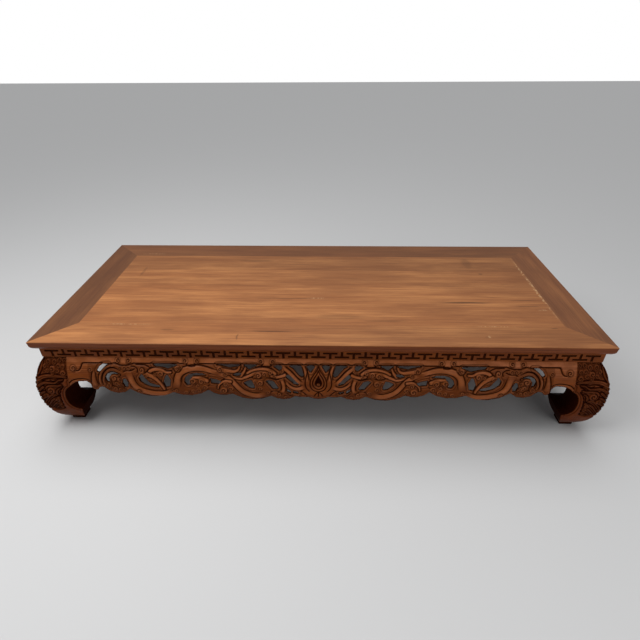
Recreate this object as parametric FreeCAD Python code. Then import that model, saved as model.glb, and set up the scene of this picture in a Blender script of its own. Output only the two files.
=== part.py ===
import FreeCAD, Part
import os

# Low kang table: a mitred frame with a floating board panel, a fretted waist,
# pierced and bulging aprons, and four bulging legs that end in hoof feet.
# Millimetres. X runs along the table, the front is -Y, Z is up from the floor.
# An inset is measured inwards from the outer edge of the top, so a piece that
# bulges past the top has a negative inset.

Vector = FreeCAD.Vector

# Overall sizes
table_length = 1830.0
table_depth = 750.0
table_height = 353.0
overrun = 5.0

# Flat facets that stand for each smooth line
bulge_facets = 14
hoof_facets = 4
hollow_facets = 12
lobe_facets = 4
peg_facets = 8

# Mitred frame of the top
rail_width = 114.0
rail_thickness = 36.0
edge_round = 1.5
edge_flat = 20.0
edge_batter = 1.8
edge_curve_inset = 7.5
edge_curve_drop = 28.5

# Mitre tenons on the two long rails, and the pegs that lock them
mitre_tenon_inset = 74.0
mitre_tenon_width = 30.0
mitre_tenon_thickness = 12.0
mitre_tenon_drop = 17.0
mitre_tenon_end_inset = 30.0
mortise_end_gap = 1.0
peg_diameter = 8.0
peg_inset_along = 52.0
peg_cover = 8.0

# Floating panel of edge-joined boards
panel_thickness = 14.0
board_count = 4
tongue_thickness = 6.0
tongue_length = 8.0
tongue_drop = 5.0

# Battens across the underside of the panel
batten_count = 5
batten_width = 40.0
batten_thickness = 22.0
dovetail_neck = 20.0
dovetail_head = 27.0
dovetail_height = 5.0
batten_tenon_length = 25.0
batten_tenon_thickness = 12.0
batten_tenon_drop = 6.0

# Waist between the top frame and the aprons
waist_inset = 18.0
waist_height = 34.0
waist_thickness = 16.0
waist_tongue_thickness = 8.0
waist_tongue_height = 6.0

# Interlocking T fret cut into the waist
fret_pitch = 75.0
fret_depth = 3.0
fret_bar_length = 46.0
fret_bar_height = 7.0
fret_stem_width = 8.0
fret_margin = 6.0

# Bulging profile that the legs and the aprons share
bulge_reach = 19.5
foot_inset = 25.7
pad_size = 44.6
pad_height = 10.0

# Legs
leg_seam_inset = 96.0
hoof_tip_inset = 101.0
hoof_tip_height = 78.0
hollow_inset = 66.5
hollow_height = 122.0
arch_start_height = 186.5
leg_post_inset = 36.0
leg_post_size = 28.0
leg_post_rise = 18.0

# Pierced aprons
apron_thickness = 22.0
apron_height = 141.0
apron_tenon_length = 20.0
apron_tenon_shoulder = 6.0
apron_tenon_top_drop = 18.0
apron_tenon_bottom_drop = 60.0
end_motif_share = 0.7133

# The bulge below the shoulder: (share of the span from waist face to widest
# point, share of the height from the top of the pad to the shoulder)
bulge_shares = ((0.0, 1.0), (0.27, 0.945), (0.50, 0.885), (0.86, 0.727), (1.0, 0.49),
                (0.83, 0.278), (0.48, 0.128))

# Hoof: (share from pad to tip, share of the height from pad top to tip)
hoof_shares = ((0.0, 0.0), (0.60, 0.42), (0.82, 0.72), (1.0, 1.0))

# Hollow of the leg above the hoof, from the tip to the deepest point, and then
# from there to the arch: (share of the inset change, share of the rise)
hoof_top_shares = ((0.0, 0.0), (0.43, 0.09), (0.80, 0.35), (1.0, 1.0))
hollow_shares = ((0.0, 0.0), (0.03, 0.28), (0.20, 0.62), (0.58, 0.87), (1.0, 1.0))

# The end motif's length is a share of half a short apron, on all four sides.
# The aprons' outlines are pairs of shares. The second share is always of the
# apron's height, down from its top. The first is of the end motif's length in
# from the leg, or of half the length between the two end motifs, out from the
# table's centre line.

# End motif: the arch beside the leg, the drop and the lobe under the scroll.
# Each arc is drawn through the point before it, its middle and its end.
end_arc_shares = (
    ((0.12, 0.567), (0.25, 0.532)),
    ((0.34, 0.567), (0.367, 0.674)),
    ((0.42, 0.770), (0.49, 0.702)),
    ((0.53, 0.684), (0.57, 0.681)),
    ((0.81, 0.858), (1.0, 0.730)),
)
end_hole_shares = (
    ((0.487, 0.305), (0.538, 0.191), (0.598, 0.131), (0.759, 0.121), (0.658, 0.163),
     (0.588, 0.241), (0.528, 0.326)),
    ((0.874, 0.397), (0.814, 0.319), (0.739, 0.301), (0.663, 0.348), (0.618, 0.454),
     (0.643, 0.567), (0.693, 0.553), (0.683, 0.440), (0.724, 0.376), (0.789, 0.369)),
    ((0.955, 0.454), (0.990, 0.560), (0.970, 0.695), (0.920, 0.702), (0.889, 0.589),
     (0.910, 0.475)),
)

# Long aprons between the end motifs: two C scrolls, a dragon and half a pearl
long_arc_shares = (
    ((0.871, 0.943), (0.771, 0.816)),
    ((0.685, 0.901), (0.581, 0.730)),
    ((0.508, 0.879), (0.456, 0.837)),
    ((0.335, 0.999), (0.250, 0.887)),
    ((0.174, 0.986), (0.121, 0.887)),
    ((0.085, 0.915), (0.052, 0.901)),
    ((0.030, 0.945), (0.0, 0.965)),
)
long_hole_shares = (
    ((0.926, 0.333), (0.945, 0.440), (0.937, 0.546), (0.913, 0.638), (0.874, 0.702),
     (0.845, 0.702), (0.835, 0.638), (0.887, 0.560), (0.908, 0.450)),
    ((0.790, 0.348), (0.774, 0.490), (0.784, 0.667), (0.808, 0.695), (0.817, 0.560),
     (0.803, 0.390)),
    ((0.868, 0.121), (0.855, 0.188), (0.819, 0.199), (0.787, 0.234), (0.755, 0.191),
     (0.724, 0.128), (0.790, 0.121)),
    ((0.576, 0.369), (0.606, 0.316), (0.640, 0.305), (0.674, 0.333), (0.698, 0.418),
     (0.705, 0.539), (0.692, 0.631), (0.671, 0.610), (0.676, 0.490), (0.658, 0.395),
     (0.620, 0.385)),
    ((0.568, 0.426), (0.539, 0.447), (0.506, 0.504), (0.525, 0.590), (0.562, 0.570)),
    ((0.594, 0.124), (0.516, 0.149), (0.465, 0.199), (0.419, 0.170), (0.397, 0.124),
     (0.484, 0.117)),
    ((0.453, 0.355), (0.429, 0.298), (0.400, 0.284), (0.403, 0.355), (0.426, 0.390)),
    ((0.394, 0.124), (0.361, 0.234), (0.310, 0.128), (0.352, 0.117)),
    ((0.239, 0.149), (0.202, 0.255), (0.189, 0.213), (0.189, 0.128), (0.213, 0.121)),
    ((0.395, 0.539), (0.374, 0.482), (0.348, 0.461), (0.334, 0.638), (0.340, 0.702),
     (0.361, 0.688), (0.381, 0.617)),
    ((0.277, 0.489), (0.258, 0.454), (0.234, 0.482), (0.208, 0.667), (0.218, 0.716),
     (0.240, 0.702), (0.264, 0.560)),
    ((0.171, 0.390), (0.163, 0.312), (0.147, 0.333), (0.103, 0.539), (0.106, 0.596),
     (0.129, 0.567)),
    ((0.161, 0.128), (0.121, 0.121), (0.089, 0.128), (0.076, 0.340), (0.084, 0.397),
     (0.100, 0.355), (0.130, 0.205)),
    ((0.065, 0.128), (0.040, 0.121), (0.015, 0.128), (0.039, 0.284), (0.054, 0.220)),
    ((0.171, 0.660), (0.144, 0.745), (0.148, 0.826), (0.166, 0.770)),
    ((0.134, 0.745), (0.100, 0.780), (0.112, 0.836), (0.134, 0.800)),
)

# Short aprons between the end motifs: half a pearl and one ray
short_arc_shares = (
    ((0.700, 0.887), (0.425, 0.858)),
    ((0.225, 0.930), (0.0, 0.965)),
)
short_hole_shares = (
    ((0.825, 0.149), (0.650, 0.121), (0.512, 0.348), (0.575, 0.404), (0.720, 0.300)),
    ((0.480, 0.128), (0.312, 0.121), (0.113, 0.128), (0.300, 0.284), (0.425, 0.220)),
    ((0.750, 0.589), (0.470, 0.702), (0.525, 0.759), (0.755, 0.690)),
)

# Heights that follow from the sizes above
rail_underside = table_height - rail_thickness
shoulder_height = rail_underside - waist_height
board_underside = table_height - panel_thickness
tongue_top = table_height - tongue_drop
tongue_bottom = tongue_top - tongue_thickness
waist_tongue_inset = waist_inset + (waist_thickness - waist_tongue_thickness) / 2
half_length = table_length / 2
half_depth = table_depth / 2
end_motif_length = end_motif_share * (half_depth - leg_seam_inset)


def side_point(reach, inset, height):
    """A point on the front side's section, for a side whose outer edge is reach away."""
    return Vector(0, inset - reach, height)


def smooth_line(points, facets):
    """Points along a smooth curve through the given points, facets straight steps in all."""
    curve = Part.BSplineCurve()
    curve.interpolate(points)
    return curve.toShape().discretize(facets + 1)


def arc_line(start, through, end):
    """Points along an arc, without its start."""
    return Part.Arc(start, through, end).toShape().discretize(lobe_facets + 1)[1:]


def face_inside(points):
    """A flat face inside the closed outline through the points."""
    return Part.Face(Part.makePolygon(points + points[:1]))


def box_between(low, high):
    size = high - low
    return Part.makeBox(size.x, size.y, size.z, low)


def along_x(face, start, end):
    """Sweep a section straight along X."""
    return face.translated(Vector(start, 0, 0)).extrude(Vector(end - start, 0, 0))


def turned(shape, degrees):
    return shape.rotated(Vector(), Vector(0, 0, 1), degrees)


def one_solid(shape):
    solids = shape.removeSplitter().Solids
    if len(solids) != 1:
        places = [(round(solid.Volume), solid.BoundBox.Center) for solid in solids]
        raise ValueError("expected one solid, found %s" % places)
    return solids[0]


def mitred(shape, length, reach):
    """Cut both ends of a front-side piece along the 45 degree mitres."""
    corners = [Vector(-length / 2, -reach, 0), Vector(length / 2, -reach, 0),
               Vector(length / 2 - rail_width, rail_width - reach, 0),
               Vector(rail_width - length / 2, rail_width - reach, 0)]
    prism = face_inside(corners).extrude(Vector(0, 0, table_height))
    return shape.common(prism)


# Frame of the top

def rail_section(reach):
    groove_inset = rail_width - tongue_length - mortise_end_gap
    top_edge = side_point(reach, edge_round, table_height)
    side_edge = side_point(reach, 0, table_height - edge_round)
    flat_end = side_point(reach, edge_batter, table_height - edge_flat)
    curve_middle = side_point(reach, edge_curve_inset, table_height - edge_curve_drop)
    curve_end = side_point(reach, waist_inset, rail_underside)
    inner_side = [side_point(reach, rail_width, rail_underside),
                  side_point(reach, rail_width, tongue_bottom),
                  side_point(reach, groove_inset, tongue_bottom),
                  side_point(reach, groove_inset, tongue_top),
                  side_point(reach, rail_width, tongue_top),
                  side_point(reach, rail_width, table_height)]
    under_edge = arc_line(flat_end, curve_middle, curve_end)
    return face_inside([top_edge, side_edge, flat_end] + under_edge + inner_side)


def rail(length, reach):
    return mitred(along_x(rail_section(reach), -length / 2, length / 2), length, reach)


def mitre_tenon(reach, side, end_gap):
    """Tenon at one end (side -1 or 1) of the front rail, with room at its blind end."""
    outer = half_length - mitre_tenon_end_inset + end_gap
    inner = half_length - mitre_tenon_inset - mitre_tenon_width
    low_y = mitre_tenon_inset - reach
    top = table_height - mitre_tenon_drop
    low_x, high_x = sorted((side * outer, side * inner))
    return box_between(Vector(low_x, low_y, top - mitre_tenon_thickness),
                       Vector(high_x, low_y + mitre_tenon_width, top))


def corner_pegs():
    """Dowels driven up from below through each mitre tenon."""
    height = rail_thickness - peg_cover
    x = half_length - peg_inset_along
    y = half_depth - mitre_tenon_inset - mitre_tenon_width / 2
    places = [Vector(side_x * x, side_y * y, rail_underside) for side_x in (-1, 1) for side_y in (-1, 1)]
    rims = [Part.Circle(place, Vector(0, 0, 1), peg_diameter / 2).toShape() for place in places]
    return [face_inside(rim.discretize(peg_facets + 1)[:-1]).extrude(Vector(0, 0, height)) for rim in rims]


def leg_posts(end_gap):
    """Square tenons on the legs' tops that rise behind the waist into the frame."""
    low = leg_post_inset
    high = leg_post_inset + leg_post_size
    top = rail_underside + leg_post_rise + end_gap
    posts = []
    for side_x in (-1, 1):
        for side_y in (-1, 1):
            xs = sorted((side_x * (half_length - low), side_x * (half_length - high)))
            ys = sorted((side_y * (half_depth - low), side_y * (half_depth - high)))
            posts.append(box_between(Vector(xs[0], ys[0], shoulder_height), Vector(xs[1], ys[1], top)))
    return posts


def waist_tongues(low_z):
    """Bars where the waist boards' tongues run, on all four sides, from low_z up."""
    near = waist_tongue_inset
    far = waist_tongue_inset + waist_tongue_thickness
    bars = []
    for length, reach, turns in ((table_length, half_depth, (0, 180)), (table_depth, half_length, (-90, 90))):
        bar = box_between(Vector(near - length / 2, near - reach, low_z),
                          Vector(length / 2 - near, far - reach, low_z + waist_tongue_height))
        bars += [turned(bar, degrees) for degrees in turns]
    return bars


def batten_places():
    step = (table_length - 2 * rail_width) / batten_count
    first = -step * (batten_count - 1) / 2
    return [first + step * number for number in range(batten_count)]


def batten_tenon(x, side, end_gap):
    top = board_underside - batten_tenon_drop
    start = half_depth - rail_width
    ys = sorted((side * start, side * (start + batten_tenon_length + end_gap)))
    return box_between(Vector(x - dovetail_neck / 2, ys[0], top - batten_tenon_thickness),
                       Vector(x + dovetail_neck / 2, ys[1], top))


def frame_rails():
    front_tenons = [mitre_tenon(half_depth, side, 0) for side in (-1, 1)]
    front_mortises = [mitre_tenon(half_depth, side, mortise_end_gap) for side in (-1, 1)]
    back_mortises = [turned(mortise, 180) for mortise in front_mortises]
    sockets = leg_posts(mortise_end_gap) + waist_tongues(rail_underside) + corner_pegs()
    front_cuts = sockets + [batten_tenon(x, -1, mortise_end_gap) for x in batten_places()]
    front = rail(table_length, half_depth).fuse(front_tenons).cut(front_cuts)
    side = rail(table_depth, half_length)
    side_cuts = sockets + front_mortises + back_mortises
    return {
        "frame_rail_front": one_solid(front),
        "frame_rail_back": one_solid(turned(front, 180)),
        "frame_rail_left": one_solid(turned(side, -90).cut(side_cuts)),
        "frame_rail_right": one_solid(turned(side, 90).cut(side_cuts)),
    }


# Panel boards and battens

def dovetail_section(x):
    low = board_underside
    high = board_underside + dovetail_height
    return face_inside([Vector(x - dovetail_neck / 2, 0, low), Vector(x + dovetail_neck / 2, 0, low),
                        Vector(x + dovetail_head / 2, 0, high), Vector(x - dovetail_head / 2, 0, high)])


def dovetail_keys():
    """Dovetails that run the panel's full depth, one for each batten."""
    depth = table_depth - 2 * rail_width
    return [dovetail_section(x).translated(Vector(0, -depth / 2, 0)).extrude(Vector(0, depth, 0))
            for x in batten_places()]


def panel_board(number):
    width = (table_depth - 2 * rail_width) / board_count
    low = -width * board_count / 2 + width * number
    high = low + width
    groove = low + tongue_length + mortise_end_gap
    if number == 0:
        groove = low - tongue_length
    outline = [Vector(0, low, table_height), Vector(0, high, table_height),
               Vector(0, high, tongue_top), Vector(0, high + tongue_length, tongue_top),
               Vector(0, high + tongue_length, tongue_bottom), Vector(0, high, tongue_bottom),
               Vector(0, high, board_underside), Vector(0, low, board_underside),
               Vector(0, low, tongue_bottom), Vector(0, groove, tongue_bottom),
               Vector(0, groove, tongue_top), Vector(0, low, tongue_top)]
    half = half_length - rail_width
    board = along_x(face_inside(outline), -half, half)
    end_tongues = [box_between(Vector(x, max(low, groove), tongue_bottom),
                               Vector(x + tongue_length, high, tongue_top))
                   for x in (-half - tongue_length, half)]
    return one_solid(board.fuse(end_tongues).cut(dovetail_keys()))


def batten(number):
    x = batten_places()[number]
    inner = half_depth - rail_width
    body = box_between(Vector(x - batten_width / 2, -inner, board_underside - batten_thickness),
                       Vector(x + batten_width / 2, inner, board_underside))
    tenons = [batten_tenon(x, side, 0) for side in (-1, 1)]
    return one_solid(body.fuse([dovetail_keys()[number]] + tenons))


# Waist

def fret_outline(x, reach, base, direction):
    """One T of the fret on the waist's face: a bar near base and a stem away from it."""
    half_bar = fret_bar_length / 2
    half_stem = fret_stem_width / 2
    bar_near = base + direction * fret_margin
    bar_far = bar_near + direction * fret_bar_height
    stem_end = base + direction * (waist_height - fret_margin / 2)
    steps = [(-half_bar, bar_near), (half_bar, bar_near), (half_bar, bar_far), (half_stem, bar_far),
             (half_stem, stem_end), (-half_stem, stem_end), (-half_stem, bar_far), (-half_bar, bar_far)]
    return face_inside([Vector(x + across, waist_inset - reach, z) for across, z in steps])


def fret_cuts(length, reach):
    """Hanging and standing Ts in turn, half a pitch apart, along one side."""
    run = length - 2 * waist_inset
    count = round(run / fret_pitch)
    pitch = run / count
    first = -run / 2 + pitch / 2
    hanging = [fret_outline(first + pitch * number, reach, rail_underside, -1)
               for number in range(count)]
    standing = [fret_outline(first + pitch * (number + 0.5), reach, shoulder_height, 1)
                for number in range(count - 1)]
    return [outline.extrude(Vector(0, fret_depth, 0)) for outline in hanging + standing]


def waist_board(length, reach):
    back_inset = waist_inset + waist_thickness
    near = waist_tongue_inset
    far = waist_tongue_inset + waist_tongue_thickness
    tongue_low = shoulder_height - waist_tongue_height
    tongue_high = rail_underside + waist_tongue_height
    outline = [(waist_inset, shoulder_height), (near, shoulder_height), (near, tongue_low),
               (far, tongue_low), (far, shoulder_height), (back_inset, shoulder_height),
               (back_inset, rail_underside), (far, rail_underside), (far, tongue_high),
               (near, tongue_high), (near, rail_underside), (waist_inset, rail_underside)]
    section = face_inside([side_point(reach, inset, height) for inset, height in outline])
    board = mitred(along_x(section, -length / 2, length / 2), length, reach)
    return one_solid(board.cut(fret_cuts(length, reach)))


# Bulging profile

def bulge_points(reach, shift):
    """The outer profile of legs and aprons, moved inwards by shift."""
    span = waist_inset + bulge_reach
    rise = shoulder_height - pad_height
    points = [side_point(reach, waist_inset - span * out + shift, pad_height + rise * up)
              for out, up in bulge_shares]
    return smooth_line(points + [side_point(reach, foot_inset + shift, pad_height)], bulge_facets)


def bulge_strip(reach, outer_shift, inner_shift, half_run):
    """A plate of the bulging profile, between two shifts of it, along a side."""
    outer = bulge_points(reach, outer_shift)
    inner = bulge_points(reach, inner_shift)
    return along_x(face_inside(outer + inner[::-1]), -half_run, half_run)


# Legs

def between(start, end, shares):
    """Points from start to end on a section, each given by its two shares of the way."""
    return [Vector(0, start.y + (end.y - start.y) * across, start.z + (end.z - start.z) * up)
            for across, up in shares]


def leg_section(reach):
    pad_inner_inset = foot_inset + pad_size
    outer = bulge_points(reach, 0)
    pad_outer = side_point(reach, foot_inset, 0)
    pad_inner = side_point(reach, pad_inner_inset, 0)
    pad_top = side_point(reach, pad_inner_inset, pad_height)
    tip = side_point(reach, hoof_tip_inset, hoof_tip_height)
    deepest = side_point(reach, hollow_inset, hollow_height)
    arch_start = side_point(reach, leg_seam_inset, arch_start_height)
    seam_top = side_point(reach, leg_seam_inset, shoulder_height)
    hoof = smooth_line(between(pad_top, tip, hoof_shares), hoof_facets)
    hollow_points = between(tip, deepest, hoof_top_shares) + between(deepest, arch_start, hollow_shares)[1:]
    hollow = smooth_line(hollow_points, hollow_facets)
    return face_inside(outer + [pad_outer, pad_inner] + hoof + hollow[1:] + [seam_top])


def leg_front_left():
    corner = hoof_tip_inset + overrun
    front_face = along_x(leg_section(half_depth), -half_length - bulge_reach - overrun, corner - half_length)
    left_face = turned(along_x(leg_section(half_length), half_depth - corner,
                               half_depth + bulge_reach + overrun), -90)
    return front_face.common(left_face)


def legs():
    corner = leg_front_left().fuse(leg_posts(0)[0])
    mortises = [tenon.cut(leg_posts(0)) for tenon in apron_tenon_bars(mortise_end_gap)]
    corner = corner.cut(waist_tongues(shoulder_height - waist_tongue_height) + mortises)
    right = corner.mirror(Vector(), Vector(1, 0, 0))
    return {
        "leg_front_left": one_solid(corner),
        "leg_front_right": one_solid(right),
        "leg_back_left": one_solid(corner.mirror(Vector(), Vector(0, 1, 0))),
        "leg_back_right": one_solid(right.mirror(Vector(), Vector(0, 1, 0))),
    }


# Aprons

def apron_tenon_bar(length, reach, end_gap):
    """The thin strip that passes through an apron's core into the legs at both ends."""
    half_run = length / 2 - leg_seam_inset + apron_tenon_length + end_gap
    strip = bulge_strip(reach, apron_tenon_shoulder, apron_thickness - apron_tenon_shoulder, half_run)
    window = box_between(Vector(-half_run, -reach - overrun, shoulder_height - apron_tenon_bottom_drop),
                         Vector(half_run, leg_seam_inset - reach, shoulder_height - apron_tenon_top_drop))
    return strip.common(window)


def apron_tenon_bars(end_gap):
    long_bar = apron_tenon_bar(table_length, half_depth, end_gap)
    short_bar = apron_tenon_bar(table_depth, half_length, end_gap)
    return [long_bar, turned(short_bar, -90)]


def apron_outline(half_run, side, arc_shares, hole_shares):
    """One half of an apron on the plane y = 0: its lower edge from leg to centre, and its holes."""
    middle_run = half_run - end_motif_length

    def end_point(share):
        along = half_run - end_motif_length * share[0]
        return Vector(side * along, 0, shoulder_height - apron_height * share[1])

    def middle_point(share):
        return Vector(side * middle_run * share[0], 0, shoulder_height - apron_height * share[1])

    lower_edge = [Vector(side * half_run, 0, arch_start_height)]
    for place, shares in ((end_point, end_arc_shares), (middle_point, arc_shares)):
        for through, end in shares:
            lower_edge += arc_line(lower_edge[-1], place(through), place(end))
    holes = [[end_point(share) for share in hole] for hole in end_hole_shares]
    holes += [[middle_point(share) for share in hole] for hole in hole_shares]
    return lower_edge, holes


def apron(length, reach, arc_shares, hole_shares):
    half_run = length / 2 - leg_seam_inset
    front = -reach - bulge_reach - overrun
    back = waist_inset + apron_thickness + overrun - reach

    def through_cut(points):
        return face_inside(points).translated(Vector(0, front, 0)).extrude(Vector(0, back - front, 0))

    left_edge, left_holes = apron_outline(half_run, -1, arc_shares, hole_shares)
    right_edge, right_holes = apron_outline(half_run, 1, arc_shares, hole_shares)
    corners = [Vector(half_run, 0, shoulder_height), Vector(-half_run, 0, shoulder_height)]
    plate = through_cut(left_edge + right_edge[-2::-1] + corners)
    body = bulge_strip(reach, 0, apron_thickness, half_run).common(plate)
    body = body.cut([through_cut(hole) for hole in left_holes + right_holes])
    core = box_between(Vector(-half_run, front, 0), Vector(half_run, back, table_height))
    tenons = apron_tenon_bar(length, reach, 0).cut(core)
    bars = waist_tongues(shoulder_height - waist_tongue_height)
    groove = bars[0] if reach == half_depth else turned(bars[2], 90)
    return body.fuse(tenons).cut(groove)


def aprons():
    long_apron = apron(table_length, half_depth, long_arc_shares, long_hole_shares)
    short_apron = apron(table_depth, half_length, short_arc_shares, short_hole_shares)
    return {
        "apron_front": one_solid(long_apron),
        "apron_back": one_solid(turned(long_apron, 180)),
        "apron_left": one_solid(turned(short_apron, -90)),
        "apron_right": one_solid(turned(short_apron, 90)),
    }


def table_pieces():
    pieces = frame_rails()
    for number in range(board_count):
        pieces["panel_board_%d" % (number + 1)] = panel_board(number)
    for number in range(batten_count):
        pieces["batten_%d" % (number + 1)] = batten(number)
    pieces["mitre_pegs"] = Part.makeCompound(corner_pegs())
    long_waist = waist_board(table_length, half_depth)
    short_waist = waist_board(table_depth, half_length)
    pieces["waist_front"] = long_waist
    pieces["waist_back"] = turned(long_waist, 180)
    pieces["waist_left"] = turned(short_waist, -90)
    pieces["waist_right"] = turned(short_waist, 90)
    pieces.update(aprons())
    pieces.update(legs())
    return pieces


os.makedirs("parts", exist_ok=True)
for name, shape in table_pieces().items():
    shape.exportStep("parts/%s.step" % name)
    print(name, "solids", len(shape.Solids), "valid", shape.isValid(), "volume", round(shape.Volume))
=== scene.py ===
"""Low kang table: oiled top, fretted waist, carved aprons and legs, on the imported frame."""

import math

import bmesh
import bpy
import numpy as np
from bpy.props import FloatProperty, FloatVectorProperty, IntProperty, PointerProperty
from mathutils import Matrix, Vector, kdtree


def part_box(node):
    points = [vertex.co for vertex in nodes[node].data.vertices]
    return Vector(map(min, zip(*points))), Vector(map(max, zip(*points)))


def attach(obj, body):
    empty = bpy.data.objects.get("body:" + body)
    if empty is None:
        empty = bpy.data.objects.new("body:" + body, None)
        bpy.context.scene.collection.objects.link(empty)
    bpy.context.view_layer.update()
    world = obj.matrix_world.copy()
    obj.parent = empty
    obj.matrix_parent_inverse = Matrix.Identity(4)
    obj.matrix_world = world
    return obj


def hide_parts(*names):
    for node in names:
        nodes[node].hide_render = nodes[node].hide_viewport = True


bl_info = {
    "name": "Carved kang table",
    "version": (1, 0, 0),
    "blender": (4, 5, 0),
    "location": "View3D > Sidebar > Kang table",
    "description": "Dresses the frame of a low kang table with carving, wood and a plain stage",
    "category": "Object",
}

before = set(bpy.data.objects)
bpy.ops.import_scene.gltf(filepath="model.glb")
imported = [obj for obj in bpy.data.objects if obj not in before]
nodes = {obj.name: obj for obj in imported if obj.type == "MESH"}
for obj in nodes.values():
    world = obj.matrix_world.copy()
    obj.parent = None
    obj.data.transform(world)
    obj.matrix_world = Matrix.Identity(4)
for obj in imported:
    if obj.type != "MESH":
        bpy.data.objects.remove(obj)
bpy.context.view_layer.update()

MM = 0.001

# Sizes of the carcass, taken from the frame, in millimetres
top_low, top_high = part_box("frame_rail_front")
half_length = top_high.x / MM
half_depth = -top_low.y / MM
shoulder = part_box("apron_front")[1].z / MM

# An apron meets a leg this far in from the edge of the top. A run is from the middle to that seam.
SEAM_INSET = 96.0
long_run = half_length - SEAM_INSET
short_run = half_depth - SEAM_INSET

# A long apron is kept in three lengths, because its mesh is fine. They part this far from the middle.
LONG_CUT = 250

# Where the carving of an apron starts and ends, in millimetres: below the shoulder, from the seam
# with a leg, and from the floor
PLAIN_BAND_DROP = 14
HOLLOW_DROP = 13
HOLLOW_FADE = 6
HOLLOW_END = 14
GROUND_DROP = 18
GROUND_END = 70
WALL_END = 3
SEAM_FADE = 2
BEAD_END = 90
BEAD_BAND_HEIGHT = 225

# The same on a leg: depth of an outer face, heights of the foot and of the hollow, least inset of
# the hollow, and the heights between which the rim's rounding sets in
LEG_FACE_DEPTH = 60
LEG_FOOT_HEIGHT = 9
LEG_HOLLOW_HEIGHT = 205
LEG_HOLLOW_INSET = 40
LEG_RIM_HEIGHT = 60
LEG_RIM_FADE = 30

# Shares that shape the carving: of a groove's depth, of a band's rise, of a curl's radius
PIT_DEPTH = 1.4
BAND_KEPT = 0.3
BAND_SUNK = 0.45
BODY_RUN_OUT = 0.15
DOME_REACH = 1.15
DOME_RISE = 0.38
CURL_LINE = 0.2
CURL_SHADOW = 1.5
CURL_SHADOW_FADE = 0.4

# Lengths that shape it, in millimetres
DOME_RISE_MOST = 3.6
DOME_SEAT = -0.5
CURL_LINE_LEAST = 0.5
GROUND_SLOPE = 3
SHOULDER_FADE = 4
CUT_REACH = 7.0
FAIR_REACH = 8.0
LIT_DEPTH = 4
LIT_START = 1.4

# Turns of a curl's line, and steps that it is drawn in
SPIRAL_TURNS = 1.3
SPIRAL_STEPS = 28

# Smoothing moves each point in and then slightly further out, so that nothing shrinks
SOFTEN_STEPS = (0.5, -0.52)
CUT_PASSES = 150

# How strongly a place is stained, worn pale, or given painted shade or a painted highlight, from 0 to 1
# Painted shade in a ring round each curl's dome
CURL_RING_SHADE = 0.6
CURL_CLEARED = 0.8
# Crests of curls and bands turn pale: real wear and a painted highlight
CURL_WEAR_HIGHLIGHT = 0.65
BAND_WEAR_HIGHLIGHT = 0.45
BAND_LINE = 0.6
BEAD_LINE = 0.6
# Painted shade along the rim of a pierced edge, and wear with a painted highlight on the bead beside it
EDGE_RIM_SHADE = 0.45
EDGE_WEAR_HIGHLIGHT = 0.4
# Painted shade over the sunk ground between the carved bodies
GROUND_SHADE = 0.3
# Painted highlight on the plain band below the shoulder
PLAIN_BAND_HIGHLIGHT = 0.7
# How much darker the sunk field and the shoulder of a leg are drawn
LEG_GROUND_DARKENING = 0.15
LEG_SHOULDER_DARKENING = 0.4
# Backs, walls of the cut-outs and the hollows: dark stain with painted shade
BACK_STAIN_AND_SHADE = 0.9
# Painted highlight on ledges that face up near the front
LEDGE_HIGHLIGHT_CLEARING = 0.5
LEDGE_PAINTED_HIGHLIGHT = 0.8
FRET_STAIN = 0.85

# How far a normal turns to a side before a place counts as facing it, and when it is a wall
FACING_LEAST = 0.2
FACING_FADE = 0.35
LEDGE_LEAST = 0.3
LEDGE_FADE = 0.45
WALL_MOST = 0.4
HOLLOW_LEAST = 0.6

# Keeps a root or a division off zero
TINY = 1e-9

# Points of a mesh closer than this are one, and a cut takes up points this close, in millimetres
MERGE_TOLERANCE = 0.01
CUT_TOLERANCE = 0.0001

# Finish of the top: core of a mark as a share of its size, how far marks waver along and across the
# table, and the gloss where it is worn and on the moulded edge
MARK_CORE = 0.4
MARK_SWAY = (12 * MM, 6 * MM, 0.0)
MARK_SWAY_BACK = (-6 * MM, -3 * MM, 0.0)
TOP_GLOSS = 0.3
EDGE_GLOSS = 0.13

# Edges of the fret that turn further than this are eased, and flatter ones are dissolved first
ARRIS_ANGLE = math.radians(30)
FLAT_ANGLE = math.radians(1)

# Every drawing below is in millimetres: first across, then height from the floor.
# A groove is a line of points. A band is (points, half width at its start, at its
# end, rise). A curl is (across, height, radius, start angle, hand of the spiral).

# End motif of each apron. Across is measured in from the leg's seam.
END_BODIES = (
    (((90, 244), (87, 230), (85, 214), (85, 200), (87, 188)), 5.0, 12.0, 2.6),
    (((113, 186), (107, 197), (105, 211), (107, 225), (112, 236), (120, 246), (131, 254),
      (146, 259), (164, 260)),
     5.5, 5.0, 2.4),
    (((130, 185), (121, 194), (117, 208), (119, 223), (127, 236), (139, 245), (153, 247),
      (167, 242), (178, 232)),
     4.5, 6.0, 2.4),
)
END_GROOVES = (
    ((119, 266.5), (90, 266.5), (58, 266.5), (52, 264), (49, 257), (45, 249), (39, 243.5), (31, 242)),
    ((0, 199), (12, 209), (30, 214.5), (50, 216), (66, 212), (73, 203)),
    ((186, 240), (194, 244), (211, 244.5), (222, 250)),
    ((154, 267), (164, 265), (176, 261), (189, 260), (201, 261), (213, 264), (222, 267)),
    ((133, 178), (142, 190), (156, 193), (170, 190), (180, 183)),
)
END_BANDS = (
    (((141, 196), (138, 209), (140, 222), (147, 232), (159, 235), (170, 229)), 2.5, 4.0, 3.0),
)
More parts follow.
